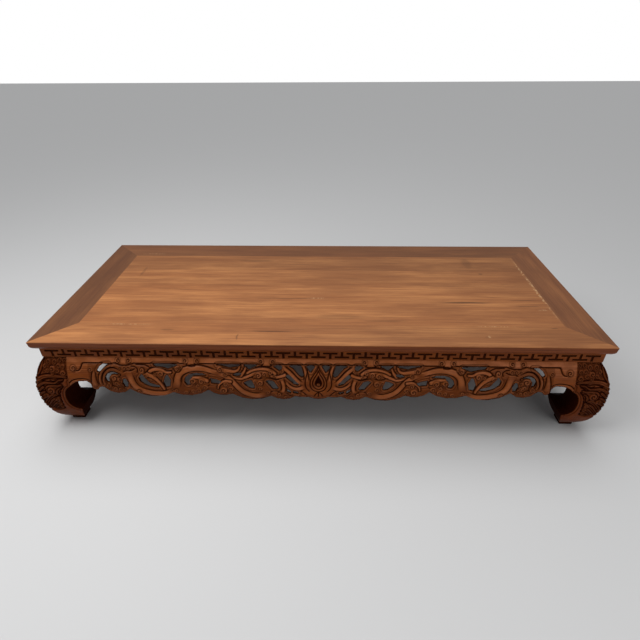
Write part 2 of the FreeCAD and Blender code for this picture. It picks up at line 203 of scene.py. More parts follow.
END_CURLS = (
    (22, 251, 9.5, 215, 1), (78, 247, 8.0, 320, -1), (130, 193, 8.5, 90, 1), (154, 220, 11.5, 200, 1),
    (172, 215, 6.5, 130, -1), (157, 201, 8.5, 30, 1), (171, 196, 6.5, 130, -1), (150, 182, 9.0, 0, 1),
    (168, 179, 8.5, 200, -1), (182, 177, 6.0, 160, -1), (136, 183, 5.5, 160, 1),
    (189, 252, 7.5, 200, 1), (204, 252, 7.5, 340, -1), (174, 252, 6.0, 200, 1),
    (169, 274.5, 8.5, 215, 1), (204, 274.5, 8.5, 325, -1),
)

# Middle of the long aprons. Across is measured from the centre line.
LONG_BODIES = (
    (((620, 242), (613, 224), (608, 205), (598, 187), (577, 172), (546, 163), (514, 162),
      (491, 167), (476, 177)),
     12.0, 10.0, 2.6),
    (((469, 186), (461, 202), (458, 220), (450, 236), (432, 248), (404, 254), (374, 253),
      (346, 246), (322, 238)),
     13.0, 7.5, 2.6),
    (((330, 240), (304, 231), (284, 218), (270, 201), (259, 186), (243, 171), (219, 160),
      (193, 158), (172, 167)),
     7.5, 12.0, 2.6),
    (((278, 227), (254, 222), (236, 227), (218, 235), (204, 243)), 4.5, 7.0, 2.2),
    (((120, 222), (114, 205), (113, 188), (118, 172)), 7.0, 7.5, 2.4),
    (((118, 261), (101, 250), (87, 237), (74, 222), (56, 202)), 6.0, 9.0, 2.6),
    (((50, 267), (43, 251), (39, 234), (38, 214)), 4.0, 9.0, 2.4),
    (((106, 210), (93, 197), (80, 189), (64, 187), (46, 194)), 5.0, 8.5, 2.6),
)
LONG_GROOVES = (
    ((597, 266.5), (500, 267), (432, 267), (424, 262), (411, 260), (398, 262), (391, 267), (300, 267),
     (190, 267), (184, 262), (167, 260.5), (152, 262), (146, 267), (60, 267), (0, 267)),
    ((606, 258), (594, 256), (586, 248), (588, 239)),
    ((590, 263), (578, 263), (562, 262), (548, 256), (540, 249)),
    ((476, 262), (471, 252), (463, 243), (452, 242), (444, 249)),
    ((368, 182), (366, 190), (356, 197)),
    ((222, 228), (208, 224), (196, 222), (182, 225)),
    ((168, 226), (152, 223), (140, 219), (128, 221)),
    ((158, 172), (146, 177), (131, 176), (119, 166)),
    ((104, 170), (96, 161), (84, 158)),
    ((60, 180), (48, 172), (38, 160)),
)
LONG_BANDS = (
    (((552, 236), (542, 246), (525, 250), (507, 248), (493, 241), (478, 241)), 7.5, 4.5, 3.0),
    (((556, 233), (541, 227), (528, 217), (518, 205), (511, 193), (506, 181)), 8.5, 5.5, 3.0),
    (((312, 250), (292, 248), (272, 246), (258, 252), (254, 262)), 8.0, 4.5, 3.0),
    (((250, 234), (241, 244), (236, 254), (233, 264)), 7.0, 3.5, 2.6),
    (((230, 241), (214, 249), (192, 254), (170, 254), (152, 249), (139, 240)), 5.0, 6.0, 3.0),
    (((152, 232), (137, 229), (122, 231), (108, 236)), 5.0, 6.5, 2.8),
    (((419, 206), (413, 219), (403, 225), (391, 225), (377, 221), (362, 214)), 5.0, 8.0, 3.2),
    (((328, 186), (325, 198), (315, 208), (301, 214), (285, 212)), 4.0, 6.5, 3.0),
)
LONG_CURLS = (
    (430, 274.5, 8.5, 215, 1), (393, 274.5, 8.5, 325, -1), (185, 274.5, 8.5, 215, 1),
    (148, 274.5, 8.5, 325, -1), (589, 172, 8.0, 20, 1), (573, 248, 10.0, 215, -1),
    (511, 235, 9.5, 160, 1), (561, 228, 8.0, 200, 1), (529, 234, 6.0, 20, 1), (547, 213, 5.5, 200, 1),
    (458, 252, 8.5, 20, -1), (465, 176, 8.5, 20, 1), (481, 177, 6.0, 180, -1),
    (409, 212, 10.5, 200, 1), (380, 211, 11.0, 20, -1), (370, 189, 9.5, 200, 1),
    (391, 177, 9.0, 160, 1), (411, 173, 8.5, 20, -1), (434, 168, 8.0, 160, 1), (393, 196, 8.0, 0, 1),
    (373, 170, 6.5, 160, 1), (318, 251, 9.5, 0, -1), (300, 237, 7.5, 200, 1),
    (309, 178, 12.5, 160, 1), (302, 201, 9.0, 20, -1), (286, 185, 8.5, 200, 1),
    (284, 171, 6.5, 200, 1), (194, 234, 10.0, 200, 1), (174, 238, 8.5, 20, -1),
    (156, 243, 8.0, 200, 1), (188, 207, 10.0, 160, 1), (207, 210, 7.5, 20, -1),
    (190, 187, 8.0, 200, 1), (166, 172, 8.0, 200, 1), (446, 256, 6.0, 200, 1),
    (119, 247, 7.5, 200, 1), (143, 231, 5.5, 200, 1), (130, 166, 8.5, 200, -1),
    (144, 161, 7.5, 200, 1), (106, 154, 7.5, 20, 1), (88, 155, 6.0, 20, 1), (62, 164, 6.5, 20, 1),
)

# Flaming pearl at the middle of all four aprons, from the centre line
PEARL_GROOVES = (
    ((0, 263), (6, 249), (16, 236), (24, 222), (27, 207), (24, 192), (15, 181), (0, 176)),
    ((0, 250), (5, 239), (12, 228), (17, 217), (18.5, 206), (15, 195), (8, 188), (0, 185.5)),
    ((0, 176), (0, 158)),
    ((0, 174), (8, 168), (13, 160)),
    ((33, 256), (37, 240), (41, 224), (43, 206), (39, 190), (30, 178)),
)
PEARL_HEART = ((0, 240), (6, 228), (12, 217), (14, 206), (10, 197), (0, 191.5))
PEARL_BEAD = (0, 203, 5.0, 90, 1)

END_MOTIF = (END_BODIES, END_GROOVES, END_BANDS, END_CURLS)
LONG_MIDDLE = (LONG_BODIES, LONG_GROOVES, LONG_BANDS, LONG_CURLS)

# Legs. Across is the inset from the outer edge of the top, on both outer faces. The field is the sunk
# ground; it and the shoulder above it are drawn darker.
LEG_FIELD = (
    (-60, 300), (97, 300), (97, 222), (88, 213), (80, 204), (71, 188), (64, 172), (58, 155), (54, 140),
    (51, 122), (49, 105), (48, 90), (42, 79), (30, 72), (14, 70), (0, 72), (-60, 68),
)
LEG_SHOULDER = ((18, 290), (97, 290), (97, 226), (60, 231), (40, 230), (24, 232), (14, 245))
LEG_GROOVES = (
    ((24, 283), (20, 270), (18, 256), (14, 245), (8, 235), (1, 227), (-5, 220)),
    ((16, 276), (11, 263), (6, 251), (1, 240), (-5, 231)),
    ((-15, 195), (-4, 201), (8, 206), (20, 211), (34, 213), (50, 211), (62, 215), (78, 215)),
    ((34, 207), (41, 204), (50, 205)),
)
# Pits are (points, half width) and lie between the locks and the bead of the rim.
LEG_PITS = (
    (((58, 193), (65, 199), (74, 204)), 4.2),
    (((59, 171), (65, 178), (72, 186)), 4.0),
    (((53, 157), (58, 165)), 3.4),
    (((47, 140), (52, 150)), 3.2),
    (((45, 119), (48, 130)), 3.0),
    (((43, 101), (45, 109)), 2.8),
    (((40, 83), (44, 90)), 2.6),
    (((8, 172), (7, 163), (11, 155), (19, 152)), 2.6),
    (((-6, 116), (-3, 110)), 2.6),
)
LEG_BANDS = (
    (((88, 219), (68, 222), (48, 224), (28, 224), (10, 220), (-6, 211)), 4.5, 8.0, 2.4),
    (((76, 210), (62, 208), (54, 202), (44, 197), (30, 198), (14, 199), (0, 194),
      (-14, 184)), 3.0, 6.5, 3.0),
    (((66, 190), (56, 187), (46, 187), (34, 187), (22, 184), (14, 178)), 3.5, 6.5, 3.0),
    (((58, 176), (50, 172), (44, 163), (42, 154), (36, 146)), 3.0, 6.5, 3.0),
    (((36, 148), (26, 150), (14, 143), (3, 132), (-7, 120), (-14, 110)), 5.5, 3.0, 3.2),
    (((44, 138), (36, 134), (28, 132), (17, 125), (7, 114), (-2, 103), (-10, 94)), 5.5, 3.0, 3.2),
    (((43, 120), (34, 114), (24, 110), (15, 102), (6, 93), (-1, 86)), 5.5, 2.8, 3.2),
    (((42, 104), (34, 97), (25, 93), (17, 86), (10, 80)), 5.0, 2.6, 3.0),
    (((42, 88), (35, 83), (27, 79), (19, 76)), 4.5, 2.4, 2.6),
    (((4, 182), (-4, 176), (-12, 168), (-20, 160)), 5.5, 3.5, 3.2),
    (((2, 162), (-8, 158), (-15, 150), (-20, 141)), 5.0, 3.5, 3.2),
    (((0, 138), (-9, 134), (-15, 128), (-20, 120)), 4.5, 3.0, 3.2),
)
LEG_CURLS = (
    (47, 249, 11.0, 60, 1), (26, 256, 7.0, 200, 1), (35, 268, 8.0, 150, 1), (58, 268, 8.5, 30, -1),
    (70, 256, 8.0, 20, -1), (84, 234, 10.0, 60, -1), (84, 254, 8.0, 20, -1), (33, 241, 7.0, 220, 1),
    (63, 241, 7.5, 320, -1), (48, 233, 6.0, 270, 1), (74, 272, 7.5, 20, -1), (88, 272, 6.0, 200, 1),
    (46, 281, 6.0, 90, 1), (29, 280, 5.5, 200, 1), (62, 281, 5.5, 340, -1), (21, 240, 5.5, 20, 1),
    (26, 169, 13.0, 95, 1), (3, 149, 9.0, 60, 1), (35, 128, 8.0, 60, 1), (36, 109, 7.5, 60, 1),
    (37, 92, 6.5, 60, 1), (-2, 205, 6.0, 200, 1), (-13, 201, 6.0, 20, 1), (-8, 217, 5.0, 200, 1),
    (-9, 187, 6.0, 20, -1), (-16, 173, 5.5, 200, 1), (-18, 150, 5.5, 20, 1), (-18, 131, 5.5, 200, 1),
    (-15, 113, 5.5, 20, 1), (-13, 99, 5.0, 200, 1), (-11, 86, 5.0, 20, 1),
)

# Marks on the top in millimetres: (x, y, half length, half width, strength)
DARK_MARKS = (
    (-157, -302, 104, 3.6, 0.75), (-258, -334, 4, 22, 0.5), (-493, -297, 30, 7, 0.35),
    (-719, 113, 8, 52, 0.3), (-282, 218, 100, 14, 0.3), (-662, -7, 44, 2.4, 0.6),
    (-542, -29, 125, 3.2, 0.5), (-140, -92, 180, 5, 0.4), (517, -114, 111, 6.4, 0.8),
    (715, -97, 71, 3.2, 0.6), (724, -137, 61, 3.0, 0.5), (630, 108, 12, 6, 0.6),
    (597, 202, 26, 60, 0.25), (763, -271, 16, 3.2, 0.6), (215, -236, 94, 8, 0.3),
    (68, -214, 110, 22, 0.25), (531, -325, 12, 9, 0.3), (120, 60, 60, 2.4, 0.35),
    # The last, long and faint mark is painted shade: it darkens the front rail towards the right, where
    # the light falls off
    (520, -320, 900, 70, 0.16),
)
PALE_MARKS = (
    (797, 10, 7, 275, 0.8), (592, -264, 95, 4.0, 0.7), (539, -322, 6, 8, 0.5),
    (772, -160, 22, 5, 0.6), (-638, -267, 110, 2.8, 0.55), (-14, -89, 46, 3.2, 0.8),
    (300, -90, 14, 3.0, 0.6), (-737, 281, 74, 3.0, 0.6),
)


def length_property(name, description, default, least, most):
    """A length that a user may change. The numbers are in millimetres."""
    return FloatProperty(name=name, description=description, default=default * MM, min=least * MM,
                         max=most * MM, precision=4, subtype="DISTANCE", unit="LENGTH")


class KangTableSizes(bpy.types.PropertyGroup):
    """Sizes of the carving and of the finish."""

    grain: length_property("Carving grain", "Mesh spacing of the carved pieces", 1.6, 1.0, 4.0)
    edge_width: length_property("Edge rounding", "Width over which a pierced edge is rounded",
                                7.0, 1.0, 20.0)
    edge_depth: length_property("Edge fall", "How far the face falls at a pierced edge", 4.0, 0.0, 8.0)
    bead_inset: length_property("Bead inset", "Distance of the bead's groove from a pierced edge",
                                6.8, 2.0, 20.0)
    groove_width: length_property("Groove half width", "Half the width of a carved line", 3.0, 1.0, 6.0)
    groove_depth: length_property("Groove depth", "Depth of a carved line", 3.0, 0.0, 6.0)
    field_depth: length_property("Sunk ground", "Depth of the ground between the locks of the legs",
                                 2.0, 0.0, 8.0)
    hollowing: FloatProperty(
        name="Hollowing", description="Share of an apron's thickness cut away behind its pierced part",
        default=0.6, min=0.0, max=0.7)
    arris: length_property("Fret arris", "Bevel on the edges of the fret", 0.7, 0.2, 2.0)
    fret_stain: length_property("Fret stain", "Depth at which the sunk T shapes are fully stained",
                                2.6, 0.5, 6.0)
    smoothing: IntProperty(
        name="Smoothing passes", description="Smoothing after the remesh", default=16, min=0, max=60)


def channel_to_linear(value):
    """One sRGB channel from 0 to 1 as linear light."""
    return value / 12.92 if value <= 0.04045 else ((value + 0.055) / 1.055) ** 2.4


def hex_colour(code):
    """A linear colour from an sRGB hex code."""
    return tuple(channel_to_linear(int(code[i:i + 2], 16) / 255) for i in (0, 2, 4))


def colour_property(name, description, code):
    """A colour that a user may change, from an sRGB hex code."""
    return FloatVectorProperty(name=name, description=description, default=hex_colour(code),
                               size=3, min=0.0, max=1.0, subtype="COLOR")


class KangTableColours(bpy.types.PropertyGroup):
    """Colours of the woods and of the stage."""

    top_light: colour_property("Top, light streak", "Lightest streaks of the oiled top", "B67A48")
    top_mid: colour_property("Top", "Main colour of the oiled top", "9F6539")
    top_dark: colour_property("Top, dark streak", "Dark streaks of the oiled top", "7A4827")
    rail_light: colour_property("Dark rail, light streak", "Light streaks of the short rails", "80512F")
    rail_mid: colour_property("Dark rail", "Main colour of the short rails and the back rail", "744729")
    rail_dark: colour_property("Dark rail, dark streak", "Dark streaks of the short rails", "5E3820")
    # The edge colour is dark stain with painted shade on the upright faces of the top
    edge: colour_property("Moulded edge", "The stained edge of the top", "743A1A")
    board_tones: FloatVectorProperty(
        name="Board tones", description="How light each board of the panel is, from front to back",
        default=(1.0, 1.0, 0.92, 0.80), size=4, min=0.5, max=1.3)
    rail_tones: FloatVectorProperty(
        name="Rail tones", description="How light the front, back, left and right rails are",
        default=(1.0, 1.0, 0.78, 1.2), size=4, min=0.5, max=1.3)
    # The pale crest colour of the carving shows wear and also stands for a painted highlight
    carved_worn_lit: colour_property("Carving, rubbed", "Crests of the carving", "B86E44")
    carved_mid: colour_property("Carving", "Main colour of the aprons", "7C3E14")
    carved_dark: colour_property("Carving, patches", "Reddish patches of old stain", "54200F")
    leg_mid: colour_property("Leg", "Main colour of the legs", "662E0E")
    # The pale crest colour of the legs shows wear and also stands for a painted highlight
    leg_worn_lit: colour_property("Leg, rubbed", "Crests of the carving on the legs", "8A4E2C")
    recess: colour_property("Recess", "Dark stain that is left in the grooves", "1E0602")
    filler: colour_property("Filler", "Pale filler in the right-hand joint and in old checks", "C49C70")
    floor: colour_property("Floor", "Colour of the floor", "C6C6C6")


def smooth_path(points, spacing=2.5):
    """A curve through the points, as an array of closely spaced points."""
    points = np.array(points, float)
    padded = np.vstack([2 * points[0] - points[1], points, 2 * points[-1] - points[-2]])
    curve = []
    for i in range(1, len(padded) - 2):
        before, start, end, after = padded[i - 1:i + 3]
        steps = max(2, int(np.linalg.norm(end - start) / spacing))
        for share in np.arange(steps) / steps:
            curve.append(0.5 * (2 * start + (end - before) * share
                                + (2 * before - 5 * start + 4 * end - after) * share ** 2
                                + (3 * start - before - 3 * end + after) * share ** 3))
    curve.append(points[-1])
    return np.array(curve)


def spiral_path(across, height, radius, start_angle, hand):
    """A line that winds in from the rim of a curl to its centre."""
    turns = np.linspace(0, SPIRAL_TURNS, SPIRAL_STEPS)
    angle = np.radians(start_angle) + hand * 2 * math.pi * turns
    reach = radius * (1 - 0.9 * (turns / turns[-1]) ** 0.9)
    return np.column_stack([across + reach * np.cos(angle), height + reach * np.sin(angle)])


def near_path(points, path, reach):
    """Indices of the points within reach of a path, their distance and their share along it."""
    low, high = path.min(0) - reach, path.max(0) + reach
    near = np.flatnonzero(((points > low) & (points < high)).all(1))
    spot = points[near]
    gap = np.full(len(near), np.inf)
    along = np.zeros(len(near))
    run = 0.0
    for start, end in zip(path[:-1], path[1:]):
        step = end - start
        length = float(np.hypot(*step)) + TINY
        share = np.clip((spot - start) @ step / length ** 2, 0, 1)
        found = np.hypot(*(spot - start - share[:, None] * step).T)
        closer = found < gap
        gap[closer] = found[closer]
        along[closer] = run + share[closer] * length
        run += length
    kept = gap < reach
    return near[kept], gap[kept], along[kept] / run


def inside_gap(points, outline):
    """Distance from each point to a closed outline, positive inside it."""
    outline = np.array(outline, float)
    gap = np.full(len(points), np.inf)
    inside = np.zeros(len(points), bool)
    for start, end in zip(outline, np.roll(outline, -1, axis=0)):
        step = end - start
        share = np.clip((points - start) @ step / (step @ step), 0, 1)
        gap = np.minimum(gap, np.hypot(*(points - start - share[:, None] * step).T))
        crosses = (start[1] > points[:, 1]) != (end[1] > points[:, 1])
        rise = step[1] if step[1] else TINY
        inside ^= crosses & (points[:, 0] < start[0] + (points[:, 1] - start[1]) * step[0] / rise)
    return np.where(inside, gap, -gap)


class Relief:
    """Height, stain and wear of the carving at points of one face, in millimetres. The stain also holds
    painted shade, and the pale wear on crests also holds a painted highlight.
    """

    def __init__(self, points, sizes):
        self.points = points
        self.height = np.zeros(len(points))
        self.stain = np.zeros(len(points))
        self.wear_and_highlight = np.zeros(len(points))
        self.line_width = sizes.groove_width / MM
        self.line_depth = sizes.groove_depth / MM

    def cut(self, near, gap, width, depth, strength=1.0):
        """Cut a rounded groove where gap is the distance from its line."""
        share = np.clip(1 - (gap / width) ** 2, 0, 1) * strength
        self.height[near] -= depth * share
        self.stain[near] = np.maximum(self.stain[near], share)

    def groove(self, points, strength=1.0):
        """Cut a carved line through the points."""
        near, gap, _ = near_path(self.points, smooth_path(points), self.line_width)
        self.cut(near, gap, self.line_width, self.line_depth, strength)

    def pit(self, points, width):
        """Sink a deep, stained hollow along a short line."""
        near, gap, _ = near_path(self.points, smooth_path(points), width)
        share = np.sqrt(np.clip(1 - (gap / width) ** 2, 0, 1))
        self.height[near] = np.minimum(self.height[near], -PIT_DEPTH * self.line_depth * share)
        self.stain[near] = np.maximum(self.stain[near], share)

    def band(self, points, start_width, end_width, rise, merge=0.0):
        """Lay a rounded strand with a groove on both sides over what is there.

        Merge is the share of its length over which each end runs out into the ground."""
        path = smooth_path(points)
        reach = max(start_width, end_width) + 2 * self.line_width
        near, gap, along = near_path(self.points, path, reach)
        hold = np.clip(np.minimum(along, 1 - along) / merge, 0, 1) if merge else np.ones(len(near))
        width = start_width + (end_width - start_width) * along
        on_band = gap < width
        crown = np.sqrt(np.clip(1 - (gap[on_band] / width[on_band]) ** 2, 0, 1))
        here, held = near[on_band], hold[on_band]
        laid = np.maximum(self.height[here], 0) * BAND_KEPT + rise * (crown - BAND_SUNK)
        self.height[here] += held * (laid - self.height[here])
        self.stain[here] *= 1 - held
        # The crown turns pale: real wear and a painted highlight
        self.wear_and_highlight[here] = np.maximum(self.wear_and_highlight[here], crown ** 3 * BAND_WEAR_HIGHLIGHT * held)
        self.cut(near, np.abs(gap - width), self.line_width, self.line_depth, hold)

    def curl(self, across, height, radius, start_angle, hand):
        """A domed eye with a spiral line in it."""
        centre = np.array([across, height])
        away = np.hypot(*(self.points - centre).T) / radius
        # Painted shade in a ring round the dome
        near = np.flatnonzero(away < CURL_SHADOW)
        shadow = CURL_RING_SHADE * np.clip((CURL_SHADOW - away[near]) / CURL_SHADOW_FADE, 0, 1)
        self.stain[near] = np.maximum(self.stain[near], shadow)
        near = np.flatnonzero(away < DOME_REACH)
        dome = np.clip(1 - (away[near] / DOME_REACH) ** 2, 0, 1)
        rise = min(DOME_RISE * radius, DOME_RISE_MOST)
        self.height[near] = np.maximum(self.height[near], DOME_SEAT) + rise * dome
        self.stain[near] *= 1 - CURL_CLEARED * np.clip(dome * 3, 0, 1)
        # The dome turns pale: real wear and a painted highlight
        self.wear_and_highlight[near] = np.maximum(self.wear_and_highlight[near], CURL_WEAR_HIGHLIGHT * dome)
        path = spiral_path(across, height, radius, start_angle, hand)
        width = CURL_LINE * radius + CURL_LINE_LEAST
        near, gap, _ = near_path(self.points, path, width)
        self.cut(near, gap, width, self.line_depth)


def draw(relief, bodies=(), grooves=(), bands=(), curls=()):
    """Carve the parts of a motif, from the broad bodies up to the curls on them."""
    for body in bodies:
        relief.band(*body, merge=BODY_RUN_OUT)
    for points in grooves:
        relief.groove(points)
    for band in bands:
        relief.band(*band)
    for curl in curls:
        relief.curl(*curl)


def draw_pearl(relief):
    """Carve the flaming pearl with its sunk heart."""
    draw(relief, grooves=PEARL_GROOVES)
    heart = np.array(PEARL_HEART, float)
    outline = np.vstack([heart, heart[-2:0:-1] * (-1, 1)])
    depth = np.clip(inside_gap(relief.points, outline) / GROUND_SLOPE, 0, 1)
    relief.height -= depth * relief.line_depth
    relief.stain = np.maximum(relief.stain, depth)
    relief.curl(*PEARL_BEAD)


def draw_leg(relief, field_depth):
    """Carve curls on the shoulder of a leg and locks on its sunk field."""
    ground = np.clip(inside_gap(relief.points, LEG_FIELD) / GROUND_SLOPE, 0, 1)
    relief.height -= ground * field_depth
    crown = np.clip(inside_gap(relief.points, LEG_SHOULDER) / SHOULDER_FADE, 0, 1)
    # The sunk field and the shoulder are drawn darker
    relief.stain = np.maximum(relief.stain, LEG_GROUND_DARKENING * ground + LEG_SHOULDER_DARKENING * crown)
    draw(relief, grooves=LEG_GROOVES, bands=LEG_BANDS)
    for band in LEG_BANDS:
        relief.groove(band[0], BAND_LINE)
    draw(relief, curls=LEG_CURLS)
    for pit in LEG_PITS:
        relief.pit(*pit)


def link_piece(name, mesh):
    """An object of a mesh, linked to the scene."""
    piece = bpy.data.objects.new(name, mesh)
    bpy.context.scene.collection.objects.link(piece)
    return piece


def merged_form(node):
    """A bmesh of a node's mesh with its doubles merged."""
    form = bmesh.new()
    form.from_mesh(nodes[node].data)
    bmesh.ops.remove_doubles(form, verts=form.verts, dist=MERGE_TOLERANCE * MM)
    return form


def soften(mesh, points, passes, within=None):
    """Points of a mesh smoothed a number of times, each time spread back so that nothing shrinks."""
    ends = np.zeros(len(mesh.edges) * 2, np.int32)
    mesh.edges.foreach_get("vertices", ends)
    ends = ends.reshape(-1, 2)
    if within is not None:
        ends = ends[within[ends].all(1)]
    first, second = ends.T
    both, other = np.concatenate([first, second]), np.concatenate([second, first])
    count = np.maximum(np.bincount(both, minlength=len(points)), 1)[:, None]
    joined = np.bincount(both, minlength=len(points)) > 0
    for _ in range(passes):
        for factor in SOFTEN_STEPS:
            mean = np.column_stack([np.bincount(both, points[other, axis], len(points))
                                    for axis in range(3)])
            points = points + factor * joined[:, None] * (mean / count - points)
    return points


def fine_mesh(node, sizes):
    """A node's shape as an even, smoothed mesh that is fine enough to carve."""
    form = merged_form(node)
    mesh = bpy.data.meshes.new(node + "_fine")
    form.to_mesh(mesh)
    form.free()
    blank = link_piece(node + "_blank", mesh)
    remesh = blank.modifiers.new("Even grain", "REMESH")
    remesh.mode = "VOXEL"
    remesh.voxel_size = sizes.grain
    remesh.use_smooth_shade = True
    evaluated = blank.evaluated_get(bpy.context.evaluated_depsgraph_get())
    fine = bpy.data.meshes.new_from_object(evaluated)
    bpy.data.objects.remove(blank)
    store_points(fine, soften(fine, mesh_points(fine), sizes.smoothing))
    return fine


def read_vectors(source, field, count):
    """A field of vectors of a mesh as an array."""
    values = np.zeros(count * 3, np.float32)
    source.foreach_get(field, values)
    return values.reshape(-1, 3).astype(float)


def mesh_points(mesh):
    """The places of a mesh's vertices in millimetres."""
    return read_vectors(mesh.vertices, "co", len(mesh.vertices)) / MM


def mesh_normals(mesh):
    return read_vectors(mesh.vertex_normals, "vector", len(mesh.vertices))


def store_points(mesh, points):
    """Move a mesh's vertices to places in millimetres."""
    mesh.vertices.foreach_set("co", (points * MM).astype(np.float32).ravel())
    mesh.update()


def store_values(mesh, name, values):
    """Store values from 0 to 1 as an attribute for the materials."""
    attribute = mesh.attributes.new(name, "FLOAT", "POINT")
    attribute.data.foreach_set("value", np.clip(values, 0, 1).astype(np.float32))


def store_finish(mesh, stain, wear_and_highlight, lit, facing):
    """Store the finish of a carved piece. Ledges that face up near the front get a painted highlight:
    less stain and the pale crest colour, but not in the grooves.
    """
    ledge = lit * np.clip((mesh_normals(mesh)[:, 2] - LEDGE_LEAST) / LEDGE_FADE, 0, 1)
    store_values(mesh, "stain", stain * (1 - LEDGE_HIGHLIGHT_CLEARING * ledge * (1 - facing)))
    store_values(mesh, "wear_and_highlight", np.maximum(wear_and_highlight, LEDGE_PAINTED_HIGHLIGHT * ledge * (1 - facing * stain)))


def face_profile(heights, outs):
    """Heights in steps of a millimetre, and how far the outer face stands out at each."""
    steps = np.arange(heights.min(), heights.max() + 1.0)
    place = np.clip(np.round(heights - steps[0]).astype(int), 0, len(steps) - 1)
    face = np.full(len(steps), -np.inf)
    np.maximum.at(face, place, outs)
    known = np.isfinite(face)
    return steps, np.interp(steps, steps[known], face[known])


def fair_profile(heights, outs, reach):
    """What to add to a faceted outer face at each height so that it is a fair curve."""
    steps, faceted = face_profile(heights, outs)
    margin = int(3 * reach)
    ends = np.arange(1, margin + 1)
    span = 4
    before = faceted[0] - (faceted[span] - faceted[0]) / span * ends[::-1]
    after = faceted[-1] + (faceted[-1] - faceted[-1 - span]) / span * ends
    kernel = np.exp(-0.5 * (np.arange(-margin, margin + 1) / reach) ** 2)
    fair = np.convolve(np.concatenate([before, faceted, after]), kernel / kernel.sum(), "valid")
    return np.interp(heights, steps, fair - faceted)


def hollow_back(points, front, run, share):
    """Thin the pierced part of an apron from behind. Gives how far each point lies behind its face."""
    steps, face = face_profile(points[front, 2], -points[front, 1])
    below_band = np.clip((shoulder - HOLLOW_DROP - points[:, 2]) / HOLLOW_FADE, 0, 1)
    off_seam = np.clip((run - HOLLOW_END - np.abs(points[:, 0])) / HOLLOW_END, 0, 1)
    pierced = below_band * off_seam
    behind = np.maximum(np.interp(points[:, 2], steps, face) + points[:, 1], 0)
    points[:, 1] -= share * pierced * behind
    return behind * (1 - share * pierced)


def nearest_wall(points, walls):
    """The nearest wall point to each point across the face, and its distance."""
    tree = kdtree.KDTree(len(walls))
    for i, (across, height) in enumerate(walls):
        tree.insert((across, height, 0.0), i)
    tree.balance()
    found = [tree.find((across, height, 0.0)) for across, height in points]
    return np.array([spot[1] for spot in found]), np.array([spot[2] for spot in found])


def edge_gap(points, walls):
    """Distance across the face from each point to the nearest wall of a cut-out."""
    return nearest_wall(points, walls)[1]


def fair_cuts(mesh, points, wall, passes, reach):
    """Turn the straight facets of the cut-outs into flowing curves, and draw the face along."""
    flowing = soften(mesh, points, passes, wall)
    drawn = (flowing - points)[wall][:, [0, 2]]
    nearest, gap = nearest_wall(points[:, [0, 2]], points[wall][:, [0, 2]])
    share = np.clip(1 - gap / reach, 0, 1) ** 2
    points = points.copy()
    points[:, [0, 2]] += share[:, None] * drawn[nearest]
    return points


def facing_share(normals, direction):
    """How much each normal faces a direction, from 0 to 1."""
    return np.clip((normals @ np.array(direction, float) - FACING_LEAST) / FACING_FADE, 0, 1)


def round_edges(relief, gap, sizes, beaded):
    """Round the pierced edges and run a bead beside them where there is one. The rim is darkened with
    painted shade, and the bead turns pale with wear and a painted highlight.
    """
    width = sizes.edge_width / MM
    away = np.clip(1 - gap / width, 0, 1)
    relief.height -= sizes.edge_depth / MM * (1 - np.sqrt(1 - away ** 2 + TINY))
    relief.stain = np.maximum(relief.stain, EDGE_RIM_SHADE * away ** 2)
    bead_middle = 0.5 * sizes.bead_inset / MM
    relief.wear_and_highlight = np.maximum(relief.wear_and_highlight, EDGE_WEAR_HIGHLIGHT * np.clip(1 - np.abs(gap / bead_middle - 1), 0, 1))
    from_line = np.abs(gap - 2 * bead_middle)
    near = np.flatnonzero(beaded & (from_line < relief.line_width))
    relief.cut(near, from_line[near], relief.line_width, relief.line_depth, BEAD_LINE)


def carve_apron(mesh, run, sizes, middle=()):
    """Carve an apron that faces -Y. Run is from its middle to the legs, middle is its own motif."""
    points, normals = mesh_points(mesh), mesh_normals(mesh)
    across, out, height = np.abs(points[:, 0]), -points[:, 1], points[:, 2]
    facing = facing_share(normals, (0, -1, 0))
    front = np.flatnonzero(facing > 0)
    lit = np.clip(LIT_START - hollow_back(points, front, run, sizes.hollowing) / LIT_DEPTH, 0, 1)
    plain_band = shoulder - PLAIN_BAND_DROP
    wall = (np.abs(normals[:, 1]) < WALL_MOST) & (height < plain_band) & (across < run - WALL_END)
    points = fair_cuts(mesh, points, wall, CUT_PASSES, CUT_REACH)
    across, height = np.abs(points[:, 0]), points[:, 2]
    gap = edge_gap(points[front][:, [0, 2]], points[wall][:, [0, 2]])
    across, height, out, share = across[front], height[front], out[front], facing[front]
    relief = Relief(np.column_stack([across, height]), sizes)
    # Painted shade over the ground between the bodies, away from the ends
    off_ends = np.abs(across - 0.5 * run) < 0.5 * run - GROUND_END
    relief.stain[off_ends & (height < shoulder - GROUND_DROP)] = GROUND_SHADE
    # Painted highlight: the plain band below the shoulder takes the pale crest colour, as if lit under
    # the overhang
    relief.wear_and_highlight[height > plain_band] = PLAIN_BAND_HIGHLIGHT
    round_edges(relief, gap, sizes, (across < run - BEAD_END) | (height > BEAD_BAND_HEIGHT))
    draw(relief, *middle)
    draw_pearl(relief)
    from_leg = Relief(np.column_stack([run - across, height]), sizes)
    draw(from_leg, *END_MOTIF)
    total = relief.height + from_leg.height
    total += fair_profile(height, out, FAIR_REACH)
    total *= np.clip((run + SEAM_FADE - across) / SEAM_FADE, 0, 1)
    points[front, 1] -= share * total
    # All but the carved face: dark stain with painted shade
    stain, wear_and_highlight = np.full(len(points), BACK_STAIN_AND_SHADE), np.zeros(len(points))
    stain[front] = (1 - share) * stain[front] + share * np.maximum(relief.stain, from_leg.stain)
    wear_and_highlight[front] = share * np.maximum(relief.wear_and_highlight, from_leg.wear_and_highlight)
    store_points(mesh, points)
    store_finish(mesh, stain, wear_and_highlight, lit, facing)


